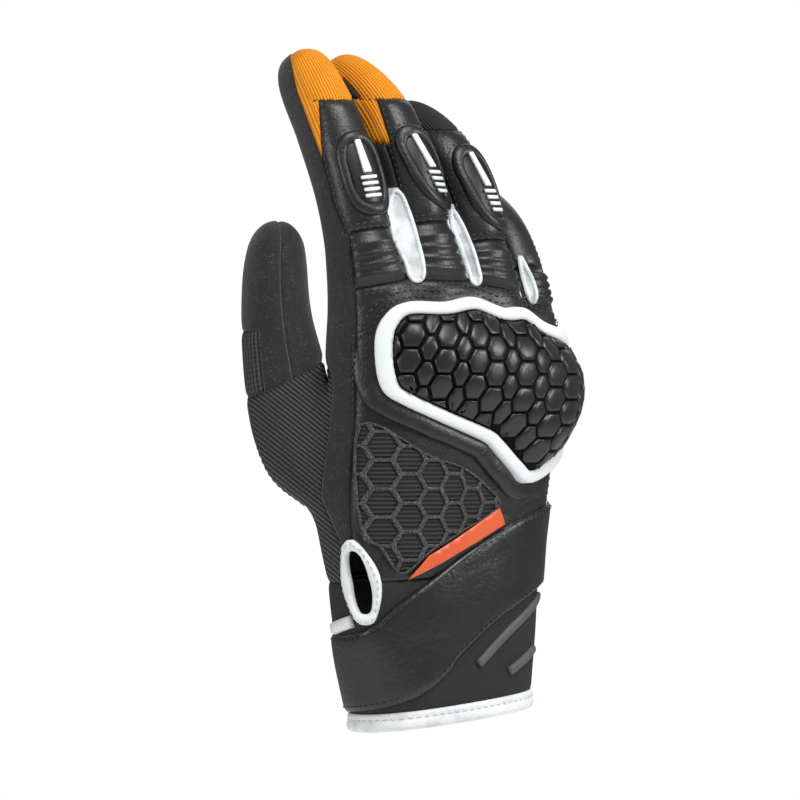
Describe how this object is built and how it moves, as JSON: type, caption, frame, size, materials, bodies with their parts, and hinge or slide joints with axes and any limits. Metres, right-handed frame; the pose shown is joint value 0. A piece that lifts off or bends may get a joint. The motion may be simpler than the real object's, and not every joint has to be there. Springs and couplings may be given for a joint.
{
  "type": "motorcycle glove",
  "caption": "Right-hand motorcycle glove held up as worn: leather and knit panels, domed knuckle guard, wrist strap and open cuff.",
  "frame": {"origin": "middle of the wrist opening, at the lower edge of the hem's middle", "axes": "+Z from the wrist opening up to the fingertips, -Y out of the back of the hand, -X to the thumb's side"},
  "size_m": [0.1225, 0.0773, 0.2448],
  "materials": {
    "leather": "grained, semi-gloss",
    "suede": "suede, matt",
    "stretch": "ribbed stretch fabric",
    "knit_black": "ribbed knit",
    "knit_orange": "ribbed knit",
    "white_stretch": "stretch fabric",
    "hard_shell": "moulded, satin",
    "white_rubber": "satin",
    "black_rubber": "satin",
    "net": "ribbed mesh",
    "red_film": "glossy film",
    "neoprene": "smooth neoprene",
    "grey_rubber": "moulded, satin",
    "white_binding": "stitched binding"
  },
  "bodies": {
    "root": {"palm": "suede", "side_panel": "suede", "little_side": "leather", "back_leather": "leather", "ribbed_gusset": "stretch", "cuff": "neoprene", "index_back": "leather", "middle_back": "leather", "ring_back": "leather", "little_back": "leather", "index_flex": "leather", "middle_flex": "leather", "ring_flex": "leather", "little_flex": "leather", "index_tip": "knit_orange", "middle_tip": "knit_orange", "ring_tip": "knit_black", "little_tip": "knit_black", "index_middle_side": "white_stretch", "middle_ring_side": "white_stretch", "ring_little_side": "white_stretch", "thumb_inner": "suede", "thumb_outer": "suede", "thumb_rib": "stretch", "guard_rim": "white_rubber", "guard_pad": "leather", "knuckle_guard": "hard_shell", "mesh_panel": "net", "blade_strip": "red_film", "wrist_strap": "leather", "cuff_bar_long": "grey_rubber", "cuff_bar_short": "grey_rubber", "index_insert": "black_rubber", "middle_insert": "black_rubber", "ring_insert": "black_rubber", "index_bars": "white_rubber", "middle_bars": "white_rubber", "ring_bars": "white_rubber", "hem_binding": "white_binding", "slit_binding": "white_binding"}
  },
  "joints": []
}
